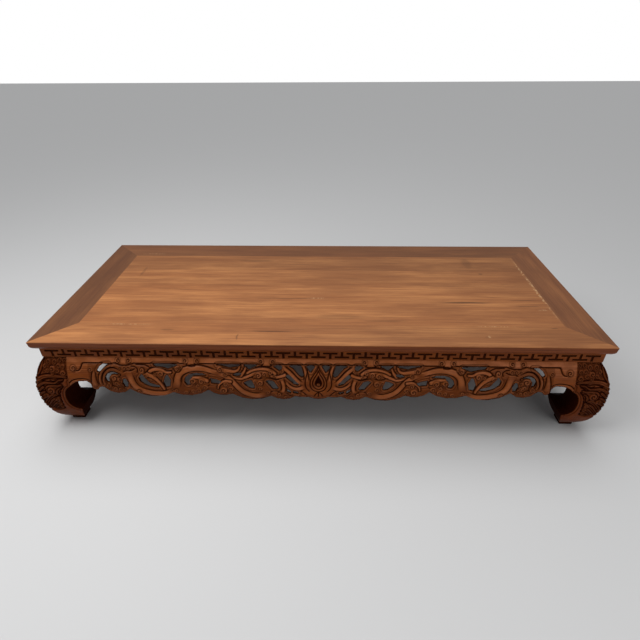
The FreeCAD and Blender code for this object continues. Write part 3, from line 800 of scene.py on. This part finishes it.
def carve_leg(mesh, sizes):
    """Carve both outer faces of the leg at the front left."""
    points, normals = mesh_points(mesh), mesh_normals(mesh)
    height = points[:, 2]
    # All but the outer faces: dark stain with painted shade
    stain, wear_and_highlight = np.full(len(points), BACK_STAIN_AND_SHADE), np.zeros(len(points))
    shift = np.zeros_like(points)
    best = np.zeros(len(points))
    faces = ((1, 0, half_depth, half_length), (0, 1, half_length, half_depth))
    for axis, side, reach_out, reach_across in faces:
        direction = [0, 0, 0]
        direction[axis] = -1
        facing = facing_share(normals, direction)
        out = -points[:, axis]
        facing *= out > reach_out - LEG_FACE_DEPTH
        inset = reach_across + points[:, side]
        front = np.flatnonzero((facing > 0) & (height > LEG_FOOT_HEIGHT))
        wall = (normals[:, side] > HOLLOW_LEAST) & (np.abs(normals[:, axis]) < WALL_MOST)
        wall &= (height < LEG_HOLLOW_HEIGHT) & (inset > LEG_HOLLOW_INSET)
        face_points = np.column_stack([inset, height])
        gap = edge_gap(face_points[front], face_points[wall])
        relief = Relief(face_points[front], sizes)
        draw_leg(relief, sizes.field_depth / MM)
        low = np.clip((height[front] - LEG_RIM_HEIGHT) / LEG_RIM_FADE, 0, 1)
        rim = Relief(relief.points, sizes)
        round_edges(rim, gap, sizes, height[front] > 0)
        total = relief.height + rim.height * low
        fair = fair_profile(height[front], out[front], FAIR_REACH)
        shift[front, axis] -= facing[front] * (total + fair)
        seen = np.maximum(relief.stain, rim.stain * low)
        better = facing[front] > best[front]
        chosen = front[better]
        share = facing[chosen]
        stain[chosen] = (1 - share) * BACK_STAIN_AND_SHADE + share * seen[better]
        wear_and_highlight[chosen] = share * np.maximum(relief.wear_and_highlight, rim.wear_and_highlight * low)[better]
        best[chosen] = share
    carved = points + shift
    carved[:, 2] = np.maximum(carved[:, 2], 0)
    store_points(mesh, carved)
    store_finish(mesh, stain, wear_and_highlight, best, best)


def part_of(mesh, name, cuts):
    """What cuts across X leave of a mesh, closed there. A cut is (place, side that goes)."""
    form = bmesh.new()
    form.from_mesh(mesh)
    for place, side in cuts:
        everything = form.verts[:] + form.edges[:] + form.faces[:]
        cut = bmesh.ops.bisect_plane(form, geom=everything, dist=CUT_TOLERANCE * MM, clear_outer=True,
                                     plane_co=(place * MM, 0, 0), plane_no=(side, 0, 0))
        edges = [part for part in cut["geom_cut"] if isinstance(part, bmesh.types.BMEdge)]
        cap = bmesh.ops.holes_fill(form, edges=edges, sides=0)
        for edge in edges:
            edge.smooth = False
        for face in cap["faces"]:
            face.smooth = False
    part = bpy.data.meshes.new(name)
    form.to_mesh(part)
    form.free()
    return part


def placed_copy(mesh, name, matrix):
    """A copy of a mesh, turned or mirrored by a matrix and facing outwards."""
    copy = mesh.copy()
    copy.name = name
    copy.transform(matrix)
    if matrix.determinant() < 0:
        copy.flip_normals()
    return copy


def finish_piece(name, mesh, node, material):
    """Make a piece of a mesh that rides on the body and stands in for a node."""
    mesh.materials.clear()
    mesh.materials.append(material)
    piece = link_piece(name, mesh)
    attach(piece, "root")
    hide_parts(node)


def per_metre(size_mm):
    """The scale of a pattern whose cells have this size."""
    return 1000.0 / size_mm


def add_node(tree, kind, inputs=None, output=0, **settings):
    """Add a node with its settings and its inputs, each a value or an output, and give an output."""
    node = tree.nodes.new(kind)
    for name, value in settings.items():
        setattr(node, name, value)
    for socket, value in (inputs or {}).items():
        if isinstance(value, bpy.types.NodeSocket):
            tree.links.new(value, node.inputs[socket])
        else:
            node.inputs[socket].default_value = value
    return node.outputs[output]


def new_material(name):
    """An empty material, its node tree, its shader and its object coordinates."""
    material = bpy.data.materials.new(name)
    material.use_nodes = True
    tree = material.node_tree
    shader = tree.nodes["Principled BSDF"]
    place = add_node(tree, "ShaderNodeTexCoord", output="Object")
    return material, tree, shader, place


def streaks(tree, place, along, lengths, seed, detail=4.0):
    """Noise drawn out along the grain. Lengths are (along, across) in millimetres, a seed moves it."""
    scale = [per_metre(lengths[1])] * 3
    scale["XYZ".index(along)] = per_metre(lengths[0])
    drawn = add_node(tree, "ShaderNodeMapping",
                     {"Vector": place, "Location": (seed, seed * 1.7, seed * 0.6), "Scale": scale})
    return add_node(tree, "ShaderNodeTexNoise",
                    {"Vector": drawn, "Scale": 1.0, "Detail": detail, "Roughness": 0.6}, "Fac")


def figure(tree, place, along, lengths, seed, low, high, detail=4.0):
    """Streaks of the wood's figure with the noise between low and high spread from 0 to 1."""
    return add_node(tree, "ShaderNodeMapRange", {
        "Value": streaks(tree, place, along, lengths, seed, detail), "From Min": low, "From Max": high},
        interpolation_type="SMOOTHSTEP")


def shade(colour, factor=1.0):
    """A linear colour made darker or lighter, as a socket takes it."""
    return (*(factor * channel for channel in colour), 1.0)


def lay_over(tree, colour, tint, share, strength=1.0):
    """Lay a tint over a colour by a share times a strength."""
    weight = add_node(tree, "ShaderNodeMath", {0: share, 1: strength}, operation="MULTIPLY")
    return add_node(tree, "ShaderNodeMix", {0: weight, 6: colour, 7: tint}, 2, data_type="RGBA")


def mark_share(tree, place, marks):
    """How far each spot lies inside any of the marks on the top, from 0 to 1."""
    total = 0.0
    for x, y, along, across, strength in marks:
        spot = add_node(tree, "ShaderNodeMapping",
                        {"Vector": place, "Location": (x * MM, y * MM, top_high.z),
                         "Scale": (along * MM, across * MM, 1.0)}, vector_type="TEXTURE")
        away = add_node(tree, "ShaderNodeVectorMath", {0: spot}, "Value", operation="LENGTH")
        share = add_node(tree, "ShaderNodeMapRange",
                         {"Value": away, "From Min": 1.0, "From Max": MARK_CORE},
                         interpolation_type="SMOOTHSTEP")
        share = add_node(tree, "ShaderNodeMath", {0: share, 1: strength}, operation="MULTIPLY")
        total = add_node(tree, "ShaderNodeMath", {0: share, 1: total}, operation="MAXIMUM")
    return total


def finish_wood(tree, shader, colour, gloss, pores, depth, strength, roughness, ior=1.5):
    """Give the shader its colour, its gloss and the fine relief of the pores, depth in millimetres."""
    relief = add_node(tree, "ShaderNodeBump",
                      {"Height": pores, "Strength": strength, "Distance": depth * MM})
    for socket, source in (("Base Color", colour), ("Specular IOR Level", gloss), ("Normal", relief)):
        tree.links.new(source, shader.inputs[socket])
    shader.inputs["Roughness"].default_value = roughness
    shader.inputs["IOR"].default_value = ior


def oiled_top_wood(name, along, hues, colours, seed):
    """Oiled, open-grained hardwood, planed and worn: a soft sheen over long streaks of light and dark.

    It shows knots, checks and old filler. The moulded edge and all below the top face take the darker
    edge colour: dark stain with painted shade on the faces that turn from the light."""
    light, mid, dark = hues
    material, tree, shader, place = new_material(name)
    patches = figure(tree, place, along, (300, 70), seed + 20, 0.38, 0.62)
    wide = figure(tree, place, along, (600, 36), seed, 0.36, 0.64)
    fine = figure(tree, place, along, (180, 5), seed + 3, 0.40, 0.68)
    crumbs = figure(tree, place, "Z", (9, 9), seed + 15, 0.45, 0.60)
    # Real pores are 0.3 mm across, which is too fine to show, so they are drawn 2 mm across
    pores = figure(tree, place, along, (45, 2), seed + 6, 0.58, 0.74, 2.0)
    stray = streaks(tree, place, along, (60, 12), seed + 12)
    sway = add_node(tree, "ShaderNodeVectorMath", {0: stray, 1: MARK_SWAY, 2: MARK_SWAY_BACK},
                    operation="MULTIPLY_ADD")
    wavy = add_node(tree, "ShaderNodeVectorMath", {0: place, 1: sway}, operation="ADD")
    colour = lay_over(tree, shade(mid), shade(light), wide)
    colour = lay_over(tree, colour, shade(dark), patches, 0.45)
    colour = lay_over(tree, colour, shade(dark), fine, 0.60)
    colour = lay_over(tree, colour, shade(dark, 0.7), pores, 0.35)
    # Dark marks are knots and checks, and one long faint mark of painted shade on the front rail
    colour = lay_over(tree, colour, shade(dark, 0.3), mark_share(tree, wavy, DARK_MARKS))
    colour = lay_over(tree, colour, shade(colours.filler), mark_share(tree, wavy, PALE_MARKS), crumbs)
    # The top face keeps the top's colours; below it the edge colour gives dark stain with painted shade
    height = add_node(tree, "ShaderNodeSeparateXYZ", {0: place}, "Z")
    top_face = add_node(tree, "ShaderNodeMapRange",
                    {"Value": height, "From Min": top_high.z - 3 * MM, "From Max": top_high.z - 1 * MM},
                    interpolation_type="SMOOTHSTEP")
    edge = lay_over(tree, shade(colours.edge), shade(colours.edge, 0.6), fine)
    shine = add_node(tree, "ShaderNodeMath", {0: top_face, 1: TOP_GLOSS}, operation="MULTIPLY")
    shine = add_node(tree, "ShaderNodeMath", {0: shine, 1: EDGE_GLOSS}, operation="MAXIMUM")
    finish_wood(tree, shader, lay_over(tree, edge, colour, top_face), shine, pores, 0.4, 0.25, 0.45)
    return material


def carved_wood(name, along, mid, light, colours, seed, polish=0.5):
    """Stained and oiled hardwood, cut with a gouge: dark with stain in its grooves and with painted
    shade round its curls and rims, and pale on its crests from wear and a painted highlight.
    """
    material, tree, shader, place = new_material(name)
    stain = add_node(tree, "ShaderNodeAttribute", output="Fac", attribute_name="stain")
    wear_and_highlight = add_node(tree, "ShaderNodeAttribute", output="Fac", attribute_name="wear_and_highlight")
    wide = figure(tree, place, along, (300, 24), seed, 0.36, 0.66)
    fine = figure(tree, place, along, (90, 5), seed + 4, 0.40, 0.70)
    patchy = figure(tree, place, along, (40, 25), seed + 8, 0.35, 0.65)
    colour = lay_over(tree, shade(mid), shade(mid, 0.72), wide)
    colour = lay_over(tree, colour, shade(mid, 0.55), fine, 0.4)
    colour = lay_over(tree, colour, shade(colours.carved_dark), patchy, 0.35)
    uneven = add_node(tree, "ShaderNodeMath", {0: patchy, 1: 0.5, 2: 0.5}, operation="MULTIPLY_ADD")
    # Crests take the pale colour: real wear and a painted highlight
    colour = lay_over(tree, colour, shade(light), wear_and_highlight, uneven)
    # The stain attribute darkens with dark stain in the grooves and with painted shade round curls,
    # along pierced rims, over the sunk ground and on the backs
    colour = lay_over(tree, colour, shade(colours.recess), stain)
    # The grooves hold dust and old stain, so only the rest takes a polish. An oiled surface has an IOR
    # of about 1.5, which is lowered here because old wax and open pores dull the carving.
    clean = add_node(tree, "ShaderNodeMath", {0: 1.0, 1: stain}, operation="SUBTRACT")
    gloss = add_node(tree, "ShaderNodeMath", {0: clean, 1: polish}, operation="MULTIPLY")
    finish_wood(tree, shader, colour, gloss, fine, 0.5, 0.3, 0.3, 1.16)
    return material


def dress_node(node, material):
    """Give a node that keeps its own shape a finish."""
    mesh = nodes[node].data
    mesh.materials.clear()
    mesh.materials.append(material)


class KANG_OT_top(bpy.types.Operator):
    """Finish the mitred frame, the boards of the panel and the pegs"""

    bl_idname = "kang_table.top"
    bl_label = "Finish the top"

    def execute(self, context):
        colours = context.scene.kang_colours
        hues = colours.top_light, colours.top_mid, colours.top_dark
        dark_hues = colours.rail_light, colours.rail_mid, colours.rail_dark
        timbers = [(f"panel_board_{i}", "X", hues, tone, 1.0)
                   for i, tone in enumerate(colours.board_tones, start=1)]
        rails = (("front", "X", hues, 14.0), ("back", "X", dark_hues, 33.0),
                 ("left", "Y", dark_hues, 27.0), ("right", "Y", dark_hues, 29.0))
        for (side, along, own_hues, seed), tone in zip(rails, colours.rail_tones):
            timbers.append(("frame_rail_" + side, along, own_hues, tone, seed))
        for node, along, own_hues, tone, seed in timbers:
            toned = [[tone * channel for channel in hue] for hue in own_hues]
            dress_node(node, oiled_top_wood("oiled hardwood " + node, along, toned, colours, seed))
        dress_node("mitre_pegs", nodes["frame_rail_front"].data.materials[0])
        return {"FINISHED"}


class KANG_OT_battens(bpy.types.Operator):
    """Finish the battens under the panel"""

    bl_idname = "kang_table.battens"
    bl_label = "Finish the battens"

    def execute(self, context):
        colours = context.scene.kang_colours
        # Planed hardwood, out of sight and oiled once: plain, dark and dull
        hues = colours.rail_light, colours.rail_mid, colours.rail_dark
        raw = oiled_top_wood("planed hardwood battens", "Y", hues, colours, 40.0)
        for node in nodes:
            if node.startswith("batten"):
                dress_node(node, raw)
        return {"FINISHED"}


class KANG_OT_waist(bpy.types.Operator):
    """Ease the edges of the fretted waist and stain its sunk T shapes"""

    bl_idname = "kang_table.waist"
    bl_label = "Dress the waist"

    def execute(self, context):
        sizes, colours = context.scene.kang_sizes, context.scene.kang_colours
        for node, along, axis in (("waist_front", "X", 1), ("waist_back", "X", 1),
                                  ("waist_left", "Y", 0), ("waist_right", "Y", 0)):
            form = merged_form(node)
            bmesh.ops.dissolve_limit(form, angle_limit=FLAT_ANGLE, verts=form.verts, edges=form.edges)
            sharp = [edge for edge in form.edges
                     if len(edge.link_faces) == 2 and edge.calc_face_angle() > ARRIS_ANGLE]
            bmesh.ops.bevel(form, geom=sharp, offset=sizes.arris, offset_type="OFFSET", segments=2,
                            profile=0.5, affect="EDGES", material=-1)
            mesh = bpy.data.meshes.new(node + "_eased")
            form.to_mesh(mesh)
            form.free()
            out = np.abs(mesh_points(mesh)[:, axis])
            sunk = (out.max() - out) * MM / sizes.fret_stain
            store_values(mesh, "stain", np.clip(sunk, 0, FRET_STAIN))
            store_values(mesh, "wear_and_highlight", np.zeros(len(out)))
            wood = carved_wood("stained hardwood " + node, along, colours.carved_mid,
                               colours.carved_worn_lit, colours, 50.0)
            finish_piece(node + "_eased", mesh, node, wood)
        return {"FINISHED"}


class KANG_OT_long_aprons(bpy.types.Operator):
    """Carve the aprons of the front and the back, each kept in three lengths"""

    bl_idname = "kang_table.long_aprons"
    bl_label = "Carve the long aprons"

    def execute(self, context):
        sizes, colours = context.scene.kang_sizes, context.scene.kang_colours
        whole = fine_mesh("apron_front", sizes)
        carve_apron(whole, long_run, sizes, LONG_MIDDLE)
        wood = carved_wood("carved hardwood long aprons", "X", colours.carved_mid,
                           colours.carved_worn_lit, colours, 3.0)
        half_turn = Matrix.Rotation(math.pi, 4, "Z")
        lengths = (("left", "right", ((-LONG_CUT, 1),)), ("right", "left", ((LONG_CUT, -1),)),
                   ("middle", "middle", ((-LONG_CUT, -1), (LONG_CUT, 1))))
        for place, opposite, cuts in lengths:
            front = part_of(whole, "apron_front_carved_" + place, cuts)
            back = placed_copy(front, "apron_back_carved_" + opposite, half_turn)
            finish_piece(front.name, front, "apron_front", wood)
            finish_piece(back.name, back, "apron_back", wood)
        return {"FINISHED"}


class KANG_OT_short_aprons(bpy.types.Operator):
    """Carve the aprons of the two ends"""

    bl_idname = "kang_table.short_aprons"
    bl_label = "Carve the short aprons"

    def execute(self, context):
        sizes, colours = context.scene.kang_sizes, context.scene.kang_colours
        mesh = fine_mesh("apron_left", sizes)
        quarter_turn = Matrix.Rotation(math.pi / 2, 4, "Z")
        mesh.transform(quarter_turn)
        carve_apron(mesh, short_run, sizes)
        mesh.transform(quarter_turn.inverted())
        wood = carved_wood("carved hardwood short aprons", "Y", colours.carved_mid,
                           colours.carved_worn_lit, colours, 9.0)
        right = placed_copy(mesh, "apron_right_carved", Matrix.Rotation(math.pi, 4, "Z"))
        finish_piece("apron_left_carved", mesh, "apron_left", wood)
        finish_piece("apron_right_carved", right, "apron_right", wood)
        return {"FINISHED"}


class KANG_OT_legs(bpy.types.Operator):
    """Carve the front left leg and mirror it to the other corners"""

    bl_idname = "kang_table.legs"
    bl_label = "Carve the legs"

    def execute(self, context):
        sizes, colours = context.scene.kang_sizes, context.scene.kang_colours
        mesh = fine_mesh("leg_front_left", sizes)
        carve_leg(mesh, sizes)
        wood = carved_wood("carved hardwood legs", "Z", colours.leg_mid, colours.leg_worn_lit, colours,
                           6.0, 0.25)
        across = Matrix.Scale(-1, 4, (1, 0, 0))
        back = Matrix.Scale(-1, 4, (0, 1, 0))
        for node, matrix in (("leg_front_left", Matrix.Identity(4)), ("leg_front_right", across),
                             ("leg_back_left", back), ("leg_back_right", across @ back)):
            name = node + "_carved"
            finish_piece(name, placed_copy(mesh, name, matrix), node, wood)
        return {"FINISHED"}


# Camera at the photograph's viewing angle: place in millimetres, angles in degrees
CAMERA_PLACE = (36.5, -1464.2, 1162.3)
CAMERA_PITCH = 33.31
CAMERA_YAW = -1.59
CAMERA_ROLL = -0.39
CAMERA_LENS = 24.76
SENSOR_WIDTH = 36.0

# Stage in metres, watts and degrees. A lamp is (name, place, aim, size, power), and the sky is
# (name, where it comes from, spread, strength).
FLOOR_REACH = 12.0
LAMPS = (
    ("window", (-1.2, -0.6, 2.25), (-0.4, -0.1, 0.3), 1.4, 36.0),
    ("room", (1.7, -2.4, 0.9), (0.3, 0.0, 0.2), 1.6, 15.0),
)
SKY = ("sky_light", (0.0, 0.30, 1.0), 50.0, 1.5)
ROOM_GLOW = (0.95, 0.97, 1.0)
ROOM_STRENGTH = 0.20


def camera_matrix():
    """Where the camera stands and how it is turned."""
    pitch, yaw, roll = (math.radians(angle) for angle in (CAMERA_PITCH, CAMERA_YAW, CAMERA_ROLL))
    ahead = math.cos(pitch)
    forward = Vector((math.sin(yaw) * ahead, math.cos(yaw) * ahead, -math.sin(pitch)))
    right = Vector((math.cos(yaw), -math.sin(yaw), 0))
    up = right.cross(forward)
    turned_right = math.cos(roll) * right + math.sin(roll) * up
    turned_up = math.cos(roll) * up - math.sin(roll) * right
    matrix = Matrix((turned_right, turned_up, -forward)).transposed().to_4x4()
    matrix.translation = Vector(CAMERA_PLACE) * MM
    return matrix


def soft_lamp(name, place, aim, size, power):
    """A large square lamp at a place, aimed at a point, in metres and watts."""
    lamp = bpy.data.lights.new(name, "AREA")
    lamp.shape = "SQUARE"
    lamp.size = size
    lamp.energy = power
    holder = bpy.data.objects.new(name, lamp)
    holder.location = place
    holder.rotation_euler = (Vector(aim) - Vector(place)).to_track_quat("-Z", "Y").to_euler()
    bpy.context.scene.collection.objects.link(holder)


def soft_sun(name, place, spread, strength):
    """Even light from one side of the sky, spread over an angle in degrees."""
    sun = bpy.data.lights.new(name, "SUN")
    sun.angle = math.radians(spread)
    sun.energy = strength
    holder = bpy.data.objects.new(name, sun)
    holder.rotation_euler = (-Vector(place)).to_track_quat("-Z", "Y").to_euler()
    bpy.context.scene.collection.objects.link(holder)


class KANG_OT_stage(bpy.types.Operator):
    """Set up the floor, the light and the camera"""

    bl_idname = "kang_table.stage"
    bl_label = "Set up the stage"

    def execute(self, context):
        scene = context.scene
        colours = scene.kang_colours
        form = bmesh.new()
        bmesh.ops.create_grid(form, x_segments=1, y_segments=1, size=FLOOR_REACH)
        mesh = bpy.data.meshes.new("floor")
        form.to_mesh(mesh)
        form.free()
        floor = link_piece("floor", mesh)
        # Matt floor paint: a plain pale ground that shows the shadow and no gloss
        material, _, shader, _ = new_material("matt painted floor")
        shader.inputs["Base Color"].default_value = shade(colours.floor)
        shader.inputs["Roughness"].default_value = 0.8
        mesh.materials.append(material)
        # The world lights the object softly and is plain white where the camera sees it
        world = bpy.data.worlds.new("pale room")
        world.use_nodes = True
        tree = world.node_tree
        glow = tree.nodes["Background"]
        glow.inputs["Color"].default_value = shade(ROOM_GLOW)
        glow.inputs["Strength"].default_value = ROOM_STRENGTH
        white = shade((1.0, 1.0, 1.0))
        backdrop = add_node(tree, "ShaderNodeBackground", {"Color": white, "Strength": 1.0})
        seen = add_node(tree, "ShaderNodeLightPath", output="Is Camera Ray")
        mixed = add_node(tree, "ShaderNodeMixShader", {0: seen, 1: glow.outputs[0], 2: backdrop})
        tree.links.new(mixed, tree.nodes["World Output"].inputs["Surface"])
        scene.world = world
        soft_sun(*SKY)
        for lamp in LAMPS:
            soft_lamp(*lamp)
        camera = bpy.data.objects.new("camera", bpy.data.cameras.new("camera"))
        camera.data.sensor_width = SENSOR_WIDTH
        camera.data.lens = CAMERA_LENS
        camera.matrix_world = camera_matrix()
        scene.collection.objects.link(camera)
        scene.camera = camera
        scene.view_settings.view_transform = "Standard"
        return {"FINISHED"}


STEPS = (KANG_OT_top, KANG_OT_battens, KANG_OT_waist, KANG_OT_long_aprons, KANG_OT_short_aprons,
         KANG_OT_legs, KANG_OT_stage)


class KANG_PT_table(bpy.types.Panel):
    """Steps that dress the kang table"""

    bl_idname = "KANG_PT_table"
    bl_label = "Kang table"
    bl_space_type = "VIEW_3D"
    bl_region_type = "UI"
    bl_category = "Kang table"

    def draw(self, context):
        for settings in (context.scene.kang_sizes, context.scene.kang_colours):
            for name in settings.__annotations__:
                self.layout.prop(settings, name)
        for step in STEPS:
            self.layout.operator(step.bl_idname)


CLASSES = (KangTableSizes, KangTableColours, *STEPS, KANG_PT_table)


def register():
    for entry in CLASSES:
        bpy.utils.register_class(entry)
    bpy.types.Scene.kang_sizes = PointerProperty(type=KangTableSizes)
    bpy.types.Scene.kang_colours = PointerProperty(type=KangTableColours)


def unregister():
    del bpy.types.Scene.kang_colours
    del bpy.types.Scene.kang_sizes
    for entry in reversed(CLASSES):
        bpy.utils.unregister_class(entry)


def main():
    """Dress the table step by step."""
    register()
    for step in STEPS:
        family, name = step.bl_idname.split(".")
        getattr(getattr(bpy.ops, family), name)()


if __name__ == "__main__":
    main()
